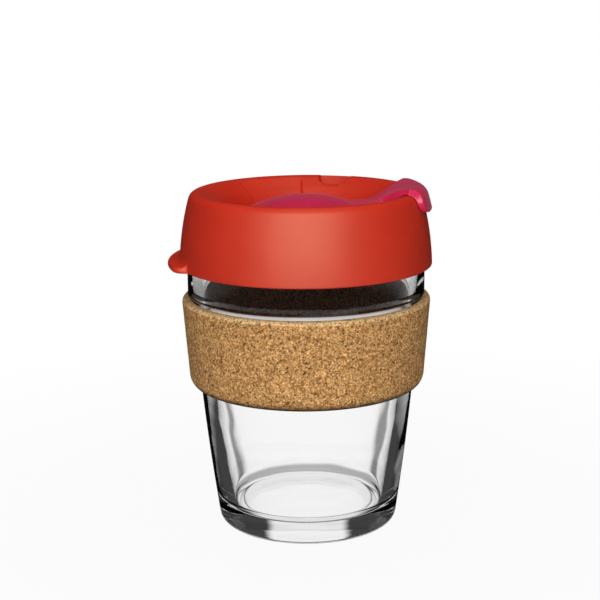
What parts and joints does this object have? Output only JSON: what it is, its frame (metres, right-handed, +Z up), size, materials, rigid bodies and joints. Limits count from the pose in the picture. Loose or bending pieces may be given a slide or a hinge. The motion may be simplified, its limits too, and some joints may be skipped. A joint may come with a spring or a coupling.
{
  "type": "reusable glass coffee cup",
  "caption": "Rigid tapered glass drinking cup with a cork grip band, a press-on plastic lid with a lift tab, and a flexible drink plug that swivels on the lid to open the sip hole.",
  "frame": {"origin": "centre of the foot, on the surface that the cup stands on", "axes": "+Z up along the cup's axis, +X towards the plug's tongue in its closed place, the lift tab towards -X"},
  "size_m": [0.0921, 0.088, 0.1203],
  "materials": {
    "glass": "clear tempered glass, fire-polished",
    "cork": "agglomerated cork, fine pale granules with dark specks, sanded",
    "lid_plastic": "satin moulded polypropylene with a fine grain",
    "plug_rubber": "satin flexible polyurethane"
  },
  "bodies": {
    "cup": {"glass_cup": "glass"},
    "band": {"cork_band": "cork"},
    "lid": {"lid": "lid_plastic"},
    "plug": {"plug_dome": "plug_rubber"},
    "tongue": {"plug_tongue": "plug_rubber"}
  },
  "joints": [
    {"name": "band_slide", "type": "slide", "parent": "cup", "child": "band", "axis": [0, 0, -1], "range_m": [0, 0.05]},
    {"name": "lid_lift", "type": "slide", "parent": "cup", "child": "lid", "axis": [0, 0, 1], "range_m": [0, 0.06]},
    {"name": "plug_swivel", "type": "hinge", "parent": "lid", "child": "plug", "pos_m": [0, 0, 0.1065], "axis": [0, 0, 1], "range_deg": [0, 113]},
    {"name": "tongue_flex", "type": "hinge", "parent": "plug", "child": "tongue", "pos_m": [0.02002, 0, 0.11215], "axis": [0, -1, 0], "range_deg": [0, 30], "stiffness_Nm_per_rad": 0.15}
  ]
}
